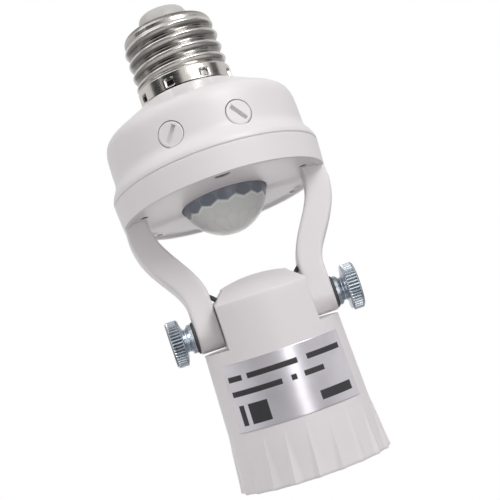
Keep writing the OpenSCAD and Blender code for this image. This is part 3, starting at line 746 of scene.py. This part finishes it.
def underside():
    """A turned ring and plate. Its flat part is a function of angle and radius, in which the
    photocell's hole, the screw pits and the two clip slots are sunk. A raised plate's edge runs near
    the far rim and steps out round each clip slot."""
    edge_z = SEAM_Z - 0.02
    side = [[27.6, edge_z], [SEAM_R - 0.3, edge_z], [SEAM_R, SEAM_Z - 0.25], [FOOT_R, FOOT_Z + 0.2]]
    side = round_corners(side, [0, 0.1, 0.15, 0])
    foot = [[FOOT_R, FOOT_Z + 0.2], [FOOT_R - 0.3, FOOT_Z], [27.3, FOOT_Z]]
    foot = round_corners(foot + [[26.6, UNDERSIDE_Z], [26.2, UNDERSIDE_Z]], [0, 0.5, 0.4, 0.4, 0], 4)
    # each hole's angle and distance from the axis, its radius, the half width of its block, its depth
    holes = [(math.radians(-90), 24.4, 2.3, 3.4, 3.0)]
    for (x, y), away, size, block, deep in (
        (SCREW_PIT, 23.6, SCREW_PIT_R, 2.6, 3.4),
        (CLIP_SLOT, 25.0, CLIP_SLOT_R, 2.0, 3.0),
    ):
        holes += [(math.atan2(y, mirror * x), away, size, block, deep) for mirror in (1, -1)]
    slots = [hole[0] for hole in holes[3:]]
    blocks = [(a, b / r, 8) for a, r, _, b, _ in holes]
    columns = lines(np.linspace(-math.pi, math.pi, 241)[:-1], *blocks)
    rows = lines(np.linspace(12.2, 28.4, 46), (24.0, 3.6, 22))[::-1]
    angle, r = np.broadcast_arrays(columns, rows[:, None])
    pit = np.zeros(angle.shape)
    for a, radius, size, block, deep in holes:
        angle, r, one = sink(angle, r, (a, radius), radius, size, block, 0.625, 0.2)
        pit = pit + deep * one
    lip = unit((r - 26.6) / 0.7)
    back = np.sin(angle)
    aside = np.minimum(*[np.abs(angle - slot) for slot in slots]) * 25
    edge = 23.4 + 2.6 * bump(aside, 2.2, 0.6)
    plate = 0.5 * unit((edge - r) / 0.3) * bump(back - 0.75, 0.4, 0.35)
    z = UNDERSIDE_Z + (FOOT_Z - UNDERSIDE_Z) * lip - plate * (1 - lip) + pit
    flat = polar(r, angle, z)
    inner = [[12.2, PLATE_TOP_Z], [26.6, PLATE_TOP_Z], [27.4, SEAM_Z - 1.5]]
    outer = turned(np.vstack([even(side, 1.5), foot[1:4]]), columns)
    made = np.vstack([outer, flat, turned(even(inner, 5), columns)])
    return piece("cover_ring", made, sharp=40)


def arm_edges(t):
    """Outer and inner x of an arm at depth t under the drum: each goes from its root to its foot as
    (1 + cos(pi u^k)) / 2, where u is the share of the curve's length."""

    def ease(u, k):
        return (1 + np.cos(math.pi * unit(u) ** k)) / 2

    outer = ARM_OUT + (FOOT_R - ARM_OUT) * ease(t / 26.2, 1.4)
    inner = ARM_IN + (ARM_ROOT_IN - ARM_IN) * ease(t / 24.6, 1.05)
    return outer, inner


def arm(side, name):
    """A rounded rectangle carried down the arm: its x limits are the arm's edges, and its half width
    in y is the arm's, or the round end's chord below the tilt axis. The root stays within the drum."""
    last = FOOT_Z - PIVOT_Z
    end = last + ARM_W / 2 * np.sin(np.linspace(0, 0.5, 22)[1:] * math.pi)
    t = np.concatenate([np.linspace(-1.2, last, 90), end])
    outer, inner = arm_edges(t)
    half_y = np.sqrt(np.maximum((ARM_W / 2) ** 2 - np.maximum(t - last, 0) ** 2, 1e-4))
    mid, half_x = (outer + inner) / 2, (outer - inner) / 2
    corner, power = 0.9, 0.22
    a = circle(64) + math.pi / 64
    cx, cy = np.cos(a), np.sin(a)
    sx, sy = np.sign(cx) * np.abs(cx) ** power, np.sign(cy) * np.abs(cy) ** power
    shrink = unit((half_y - 0.01) / corner)[:, None] ** 0.5
    x = mid[:, None] + (half_x[:, None] - corner * (1 - shrink)) * sx
    y = half_y[:, None] * sy
    z = FOOT_Z - t[:, None] + 0 * x
    out = np.sqrt(np.maximum(FOOT_R**2 - y**2, 0))
    x = np.where(t[:, None] < 3, np.minimum(x, out), x)
    return piece(name, np.stack([side * x, y, z], -1), poles=True, sharp=50)


class HOLDER_OT_lens(Operator):
    """Build the domed lens"""

    bl_idname = "holder.lens"
    bl_label = "Lens"

    def execute(self, context):
        dress(lens(), "drum", "milky_lens", "dome_lens")
        return {"FINISHED"}


def lens():
    """A spherical cap of base radius R and height H, whose sphere has radius (R^2 + H^2) / 2H, with a
    short straight foot, a flange above the underside and an inner wall."""
    wall = 0.8
    rho = (LENS_R**2 + LENS_H**2) / (2 * LENS_H)
    centre = UNDERSIDE_Z - LENS_H + rho

    def cap(radius, n):
        a = np.linspace(0.001, math.asin((LENS_R - rho + radius) / radius), n)
        return np.stack([radius * np.sin(a), centre - radius * np.cos(a)], -1)

    low, high = PLATE_TOP_Z + 0.05, -28.2
    flange = [[LENS_R, low], [14.1, low], [14.1, high], [LENS_R - wall, high]]
    profile = np.vstack([cap(rho, 60), flange, cap(rho - wall, 30)[::-1]])
    return piece("dome_lens", turned(profile, circle(144)), poles=True, sharp=40)


class HOLDER_OT_thumbscrews(Operator):
    """Build the two knurled thumbscrews and their washers"""

    bl_idname = "holder.thumbscrews"
    bl_label = "Thumbscrews"

    def execute(self, context):
        sizes = context.scene.holder_sizes
        for side, name in ((-1, "left"), (1, "right")):
            made = thumbscrew(side, name, sizes)
            dress(made, f"{name}_thumbscrew", "zinc_plated", f"thumbscrew_{name}")
        path = [[2.0, 19.43], [4.4, 19.43], [4.4, 19.93], [2.0, 19.93]]
        ring = turned(path, circle(64))[..., ::-1]
        both = [ring * np.array([side, 1, 1]) + np.array([0, 0, PIVOT_Z]) for side in (1, -1)]
        made = piece("arm_washers", both)
        dress(made, "drum", "dark_washer", "washers")
        return {"FINISHED"}


def thumbscrew(side, name, sizes):
    """A turned stud, flange, hollow neck and head. On the head's rim the radius drops in straight
    grooves: at x teeth from a groove's middle by depth * (1 - (|x| / half)^1.5), never less than 0."""
    neck, neck_r = np.linspace(-1, 1, 17), 3.2
    rise = np.where(neck < 0, 4.0 - neck_r, 5.2 - neck_r)
    waist = np.stack([neck_r + rise * neck**2, 21.2 + 1.8 * (neck + 1) / 2], -1)
    root = [[0.01, 7.3], [1.9, 7.3], [1.94, 7.7], [1.94, 19.95], [3.9, 19.98]]
    root += [[4.15, 20.15], [4.15, 20.95], [4.0, 21.15]]
    head = [[5.5, 23.02], [6.0, 23.1], [6.25, 23.3]]
    rim = np.stack([np.full(15, RIM_R), np.linspace(23.45, 26.25, 15)], -1)
    face = [[6.25, 26.35], [6.0, 26.6], [5.6, 26.7], [5.0, 26.7], [4.7, 26.62], [4.2, 26.6]]
    stud = even(root, 1.2)
    profile = np.vstack([stud, waist, head, rim, face, [[0.4, 26.6], [0.01, 26.6]]])
    columns = circle(sizes.knurl_teeth * 8)
    r, z = profile[:, 0][:, None], profile[:, 1][:, None]
    first = len(stud) + len(waist) + len(head)
    turn = columns * sizes.knurl_teeth / (2 * math.pi)
    off = np.abs(turn - np.floor(turn) - 0.5)
    cut = GROOVE_DEPTH * unit(1 - (off / GROOVE_HALF) ** 1.5)
    on_rim = (np.arange(len(profile)) >= first) & (np.arange(len(profile)) < first + len(rim))
    r = np.where(on_rim[:, None], r - cut * bump(z - 24.85, 1.2, 0.25), r)
    grid = polar(r, columns, z)
    return piece(f"{name}_thumbscrew_head", grid, poles=True, sharp=32, move=sideways(side))


class HOLDER_OT_socket(Operator):
    """Build the lamp socket: its body, liner and threaded shell"""

    bl_idname = "holder.socket"
    bl_label = "Lamp socket"

    def execute(self, context):
        sizes = context.scene.holder_sizes
        dress(socket_body(sizes), "socket", "white_plastic", "socket_body")
        dress(liner(), "socket", "inner_plastic", "socket_liner")
        dress(threaded_shell(sizes), "socket", "plated_cap", "screw_shell", finish="shell")
        return {"FINISHED"}


def socket_outline():
    """(r, z) of the turned socket from the crown to the mouth, before its flats are cut."""
    rho = (SHOULDER_R**2 + (CROWN - SHOULDER) ** 2) / (2 * (CROWN - SHOULDER))
    a = np.linspace(0.0005, math.asin(SHOULDER_R / rho) * 0.985, 40)
    crown = np.stack([rho * np.sin(a), CROWN - rho + rho * np.cos(a)], -1)
    path = [crown[-1], [SHOULDER_R + 0.05, SHOULDER], [LEDGE_R, -LEDGE], [FLARE_R, -FLARE]]
    path += [[FLARE_R + 0.12, -FLARE - 1.6], [20.2, -32.8]]
    path += [[20.85, 3.4 - MOUTH_DEPTH], [MOUTH_R, 0.4 - MOUTH_DEPTH]]
    side = round_corners(path, [0, 1.9, 0.5, 1.0, 1.5, 3, 3, 0], 8)
    return np.vstack([crown[:-1], side])


def socket_body(sizes):
    """The radius is the smallest of the turned outline, the flats at |x| = FLAT_X with their slanted
    upper edges, and the skirt less its flutes. The hollow flutes meet at sharp ridges that start under
    the label. Towards the rim the flutes deepen, and each ridge leans to its steep side."""
    angles = lines(np.linspace(-math.pi, math.pi, 361)[:-1])
    outline = even(socket_outline(), 0.62)
    z = outline[:, 1]
    above = outline[z > -LEDGE + 0.02]
    below = outline[z < -LEDGE - 0.25]
    ledge = [[LEDGE_R - 0.001, -LEDGE + 0.03], [LEDGE_R, -LEDGE], [LEDGE_R + 0.007, -LEDGE - 0.2]]
    outer = np.vstack([above, ledge, below])
    rim = np.array([[MOUTH_R - 0.12, 0.1], [MOUTH_R - 0.4, 0], [19.5, 0], [19.25, 0.2]])
    rim -= [0, MOUTH_DEPTH]
    inner = [[19.2, 0.4 - MOUTH_DEPTH], [18.9, 3.4 - MOUTH_DEPTH], [18.2, -32.8], [17.65, -FLARE]]
    inner += [[17.0, -9.0], [10.3, -8.6], [0.02, -8.5]]
    profile = np.vstack([outer, rim, even(inner, 3.0)])
    r, z = profile[:, 0][:, None], profile[:, 1][:, None]
    cut = z > -LEDGE + 0.01
    half = FLAT_X - 3.1 * unit((z - SHOULDER - 0.4) / 2.9)
    flat = half / np.maximum(np.abs(np.cos(angles)), 1e-3)
    outside = np.arange(len(profile))[:, None] < len(outer)
    r = np.where(cut & outside, np.minimum(r, flat), r)
    step = 2 * math.pi / sizes.flute_count
    turn = (angles + step / 2) % step - step / 2
    grown = unit((-z - FLUTE_START) / (MOUTH_DEPTH - FLUTE_START))
    lean = RIDGE_LEAN * grown
    between = np.abs(turn) / (step / 2)
    from_ridge = turn * MOUTH_R + lean * between
    steep_width, long_width = 0.3 + 1.3 * grown, 0.4 + 2.0 * grown
    steep = unit(1 + from_ridge / steep_width) ** 1.15
    long = unit(1 - from_ridge / long_width) ** 1.4
    groove = sizes.flute_depth * 1000 * grown * (1 - np.where(from_ridge < 0, steep, long))
    skirt = (np.arange(len(profile)) < len(outer) + 2)[:, None]
    r = np.where(skirt & (z < -FLARE), r - groove, r)
    around = angles - lean * (1 - between) / MOUTH_R
    return piece("socket_body", polar(r, around, z), poles=True, sharp=32, move=socket_place)


def liner():
    """The mouth's plain inner tube and the flange that joins it to the skirt, turned."""
    path = [[MOUTH_BORE_R, -33.9], [MOUTH_BORE_R, -42.9], [14.9, -43.3], [18.85, -43.3], [18.85, -41.7]]
    path += [[16.1, -41.6], [16.1, -11.6], [13.9, -11.6], [13.9, -33.9]]
    profile = even(round_corners(path, [0, 0.4, 0.4, 0.2, 0.2, 0.4, 0.2, 0.2, 0], 4), 2.5)
    return piece("mouth_liner", turned(profile, circle(144)), move=socket_place)


def threaded_shell(sizes):
    """Inner side r = mid + swing * fade * cos(2 pi z / pitch - angle), outer side plain: the same wave
    as the cap's, wider by the clearance that a lamp needs."""
    pitch, top = sizes.thread_pitch * 1000, -12.7
    angles = circle(180)
    z = np.linspace(-SHELL_MOUTH, top, 110)
    mid, swing = (SOCKET_THREAD_R + SOCKET_MINOR_R) / 2, (SOCKET_THREAD_R - SOCKET_MINOR_R) / 2
    fade = unit((z + SHELL_MOUTH) / 1.8) * unit((top - z) / 1.8)
    r = mid + (swing * fade)[:, None] * np.cos(z[:, None] * 2 * math.pi / pitch - angles)
    wall = polar(r, angles, z[:, None])
    path = [[9.0, top], [9.0, -12.2], [13.78, -12.2], [13.78, -SHELL_MOUTH], [13.3, -SHELL_MOUTH]]
    grid = np.vstack([wall, turned(path, angles)])
    return piece("threaded_shell", grid, sharp=45, move=socket_place)


class HOLDER_OT_label(Operator):
    """Build the bare foil label on the socket's front"""

    bl_idname = "holder.label"
    bl_label = "Foil label"

    def execute(self, context):
        dress(label(), "socket", "foil_label", "rating_label")
        return {"FINISHED"}


def label():
    """A thin patch of the socket's cone: angle by depth, an outer skin and an inner one."""
    half = math.radians(LABEL_HALF)
    near = [0.985, 0.995, 0.999, 1.0]
    share = np.concatenate([-np.array(near[::-1]), np.linspace(-0.97, 0.97, 86), near])
    angles = -math.pi / 2 + half * share
    slope = (FLARE_R - LEDGE_R) / (FLARE - LEDGE)
    path = [[LABEL_FOOT, GLUE], [LABEL_FOOT, 0.1], [LABEL_FOOT - 0.04, FOIL], [LABEL_FOOT - 0.2, FOIL]]
    path += [[down, FOIL] for down in np.linspace(LABEL_FOOT - 1, LABEL_TOP + 1, 16)]
    path += [[LABEL_TOP + 0.2, FOIL], [LABEL_TOP + 0.04, FOIL], [LABEL_TOP, 0.1], [LABEL_TOP, GLUE]]
    path = np.array(path)
    r = LEDGE_R + (path[:, 0] - LEDGE) * slope
    grid = turned(np.stack([r + path[:, 1], -path[:, 0]], -1), angles)
    flat = turned(np.stack([r + GLUE, -path[:, 0]], -1), angles)
    grid = flat + (grid - flat) * (np.abs(share) < 1)[None, :, None]
    return piece("foil_label", grid, close_columns=False, move=socket_place, sharp=40)


class HOLDER_OT_wires(Operator):
    """Build the two short wires between the arms and the socket"""

    bl_idname = "holder.wires"
    bl_label = "Bridging wires"

    def execute(self, context):
        radius = context.scene.holder_sizes.wire_radius * 1000
        for side, name in ((-1, "left_wire"), (1, "right_wire")):
            made = wire(side, name, radius)
            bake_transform(made)
            nodes = ["bridging_wires"] if side < 0 else []
            dress(made, None, "wire_cover", *nodes)
        return {"FINISHED"}


def wire(side, name, radius):
    """A tube along a cubic curve from the arm's inner face into the socket's flat: at share t the
    centre is the Bezier point of four points, and the ring stands square to the curve."""
    c, s = math.cos(TILT), math.sin(TILT)
    entry, inside = np.array([11.15, 0, 7.9]), np.array([9.6, 0, 5.6])
    turn = np.array([[1, 0, 0], [0, c, -s], [0, s, c]])
    low = np.array([0, 0, PIVOT_Z])
    p = [np.array([14.2, 0, PIVOT_Z + 10.1]), np.array([12.6, 0, PIVOT_Z + 9.9])]
    p += [turn @ (entry + [0.3, 0, 0.5]) + low, turn @ inside + low]
    t = np.linspace(0, 1, 40)[:, None]
    path = (1 - t) ** 3 * p[0] + 3 * t * (1 - t) ** 2 * p[1] + 3 * t**2 * (1 - t) * p[2] + t**3 * p[3]
    along = np.gradient(path, axis=0)
    along /= np.linalg.norm(along, axis=1)[:, None]
    across = np.cross(along, [0, 1.0, 0])
    across /= np.linalg.norm(across, axis=1)[:, None]
    other = np.cross(along, across)
    a = circle(24)[None, :, None]
    grid = path[:, None] + radius * (np.cos(a) * across[:, None] + np.sin(a) * other[:, None])
    return piece(name, grid * np.array([side, 1, 1]), poles=True)


class HOLDER_OT_stage(Operator):
    """Set up the pale floor, the dark boards, the soft lights and the camera"""

    bl_idname = "holder.stage"
    bl_label = "Stage"

    def execute(self, context):
        scene = context.scene
        stage(scene)
        camera(scene)
        scene.view_settings.view_transform = "Standard"
        return {"FINISHED"}


def backdrop_finish(name, rgb):
    """A matt surface. A pale one is lifted to plain white for the camera, and keeps its shadows."""
    made = Finish(name, Roughness=0.9, Emission_Strength=1.0)
    cloud = made.noise(3.0, 2.0)
    seen = made.node("LightPath")
    paint = made.mix(cloud, shade(rgb, 0.985), rgb)
    made.feed("Base Color", made.mix(seen, shade(rgb, 0.55), paint))
    pale = rgb[0] > 0.5
    lift = 0.62 if pale else 0.0
    made.feed("Emission Color", made.mix(seen, (0, 0, 0), (lift, lift, lift)))
    return made.material


def card(name, centre, half, rgb, direction):
    """A flat square board that faces a direction."""
    bpy.ops.mesh.primitive_plane_add(size=2 * half, location=centre)
    made = bpy.context.object
    made.name = name
    made.rotation_mode = "QUATERNION"
    made.rotation_quaternion = direction.to_track_quat("Z", "Y")
    made.data.materials.append(backdrop_finish(name, rgb))
    return made


def stage(scene):
    """A floor far below the hanging object, three dark boards that only reflections and shadows show,
    a white world and soft lamps all round."""
    card("floor", (0, 0, -1.0), 5.0, (0.85, 0.85, 0.85), Vector((0, 0, 1)))
    boards = (
        ("dark_board", (-0.4, -0.7, 0.33), 0.36),
        ("left_board", (-0.85, -0.25, 0.3), 0.24),
        ("side_board", (0.85, -0.1, 0.22), 0.18),
    )
    for name, place, half in boards:
        board = card(name, place, half, (0.03, 0.03, 0.035), -Vector(place))
        board.visible_camera = False
    world = bpy.data.worlds.new("studio")
    world.use_nodes = True
    tree = world.node_tree
    tree.nodes.clear()
    seen = tree.nodes.new("ShaderNodeLightPath")
    out = tree.nodes.new("ShaderNodeOutputWorld")
    shown = None
    for rays, rgb, strength in (
        (None, (0.98, 0.985, 1.0), 0.48),
        ("Is Glossy Ray", (1, 1, 1), 0.8),
        ("Is Transmission Ray", (1, 1, 1), 1.0),
        ("Is Camera Ray", (1, 1, 1), 1.0),
    ):
        light = tree.nodes.new("ShaderNodeBackground")
        light.inputs["Color"].default_value = (*rgb, 1)
        light.inputs["Strength"].default_value = strength
        if rays is None:
            shown = light
            continue
        mix = tree.nodes.new("ShaderNodeMixShader")
        tree.links.new(seen.outputs[rays], mix.inputs[0])
        tree.links.new(shown.outputs[0], mix.inputs[1])
        tree.links.new(light.outputs[0], mix.inputs[2])
        shown = mix
    tree.links.new(shown.outputs[0], out.inputs[0])
    scene.world = world
    target = Vector((0, 0, -0.045))
    lamps = (
        ("key", (0.5, -0.7, 0.5), 5.4, 0.45, 0.45, True),
        ("top", (-0.5, -0.35, 0.8), 2.0, 0.8, 0.8, True),
        ("left", (-0.9, 0.1, -0.15), 2.3, 0.6, 0.6, False),
        ("low", (0.05, 0.75, -0.3), 1.2, 0.6, 0.6, True),
        ("strip", (0.2, -0.79, -0.22), 0.8, 0.16, 0.6, True),
        ("fill", (-0.4, -0.8, -0.1), 0.9, 0.5, 0.5, False),
    )
    for name, place, power, wide, high, mirrored in lamps:
        data = bpy.data.lights.new(name, "AREA")
        data.shape = "RECTANGLE"
        data.energy, data.size, data.size_y = power, wide, high
        lamp = bpy.data.objects.new(name, data)
        lamp.location = place
        lamp.visible_glossy = mirrored
        lamp.rotation_mode = "QUATERNION"
        lamp.rotation_quaternion = (target - Vector(place)).to_track_quat("-Z", "Y")
        scene.collection.objects.link(lamp)


def camera(scene):
    """The photograph's view: half a metre away, a little below the drum, leaning to the left."""
    data = bpy.data.cameras.new("photo view")
    data.lens, data.sensor_width = 132.55, 36.0
    data.clip_start, data.clip_end = 0.05, 20.0
    made = bpy.data.objects.new("photo view", data)
    right = Vector((0.94689, 0.00756, -0.32148))
    up = Vector((0.31505, -0.22205, 0.92273))
    back = Vector((-0.06441, -0.975, -0.21264))
    turn = Matrix((right, up, back)).transposed().to_4x4()
    made.matrix_world = Matrix.Translation((-0.030292, -0.488256, -0.153448)) @ turn
    scene.collection.objects.link(made)
    scene.camera = made


# settings and panel


def length(name, description, default):
    return FloatProperty(name=name, description=description, default=default, unit="LENGTH")


class HolderSizes(PropertyGroup):
    """Sizes of the fine detail"""

    thread_pitch: length("Thread pitch", "From crest to crest", 0.00363)
    thread_depth: length("Thread depth", "From root to crest", 0.001)
    knurl_teeth: IntProperty(name="Knurl teeth", description="Round each thumbscrew", default=44, min=20)
    flute_count: IntProperty(name="Flutes", description="Round the socket's skirt", default=20, min=8)
    flute_depth: length("Flute depth", "At the mouth's rim", 0.0009)
    wire_radius: length("Wire radius", "Of the bridging wires", 0.00065)


def tint(name, description, default):
    return FloatVectorProperty(
        name=name, description=description, subtype="COLOR", default=default, min=0, max=1
    )


class HolderLooks(PropertyGroup):
    """Colours of the finishes"""

    plastic: tint("Plastic", "White moulding", (0.81, 0.77, 0.78))
    nickel: tint("Nickel", "Screw cap's plating", (0.68, 0.655, 0.62))
    zinc: tint("Zinc", "Thumbscrews' plating", (0.68, 0.74, 0.81))
    lens: tint("Lens", "Milky dome", (0.785, 0.79, 0.77))
    foil: tint("Foil", "Bare label", (0.76, 0.73, 0.78))


STEPS = (
    HOLDER_OT_finishes,
    HOLDER_OT_screw_cap,
    HOLDER_OT_drum,
    HOLDER_OT_adjusters,
    HOLDER_OT_cover,
    HOLDER_OT_lens,
    HOLDER_OT_thumbscrews,
    HOLDER_OT_socket,
    HOLDER_OT_label,
    HOLDER_OT_wires,
    HOLDER_OT_stage,
)


class HOLDER_PT_panel(Panel):
    """Lists the lamp holder's sizes, colours and pieces"""

    bl_idname = "HOLDER_PT_panel"
    bl_label = "Lamp holder"
    bl_space_type = "VIEW_3D"
    bl_region_type = "UI"
    bl_category = "Lamp holder"

    def draw(self, context):
        for group in (context.scene.holder_sizes, context.scene.holder_looks):
            box = self.layout.box()
            for key in group.__annotations__:
                box.prop(group, key)
        for step in STEPS:
            self.layout.operator(step.bl_idname)


CLASSES = (HolderSizes, HolderLooks, *STEPS, HOLDER_PT_panel)


def register():
    for cls in CLASSES:
        bpy.utils.register_class(cls)
    bpy.types.Scene.holder_sizes = PointerProperty(type=HolderSizes)
    bpy.types.Scene.holder_looks = PointerProperty(type=HolderLooks)


def unregister():
    del bpy.types.Scene.holder_looks
    del bpy.types.Scene.holder_sizes
    for cls in reversed(CLASSES):
        bpy.utils.unregister_class(cls)


def main():
    register()
    for step in STEPS:
        group, name = step.bl_idname.split(".")
        getattr(getattr(bpy.ops, group), name)()


if __name__ == "__main__":
    main()
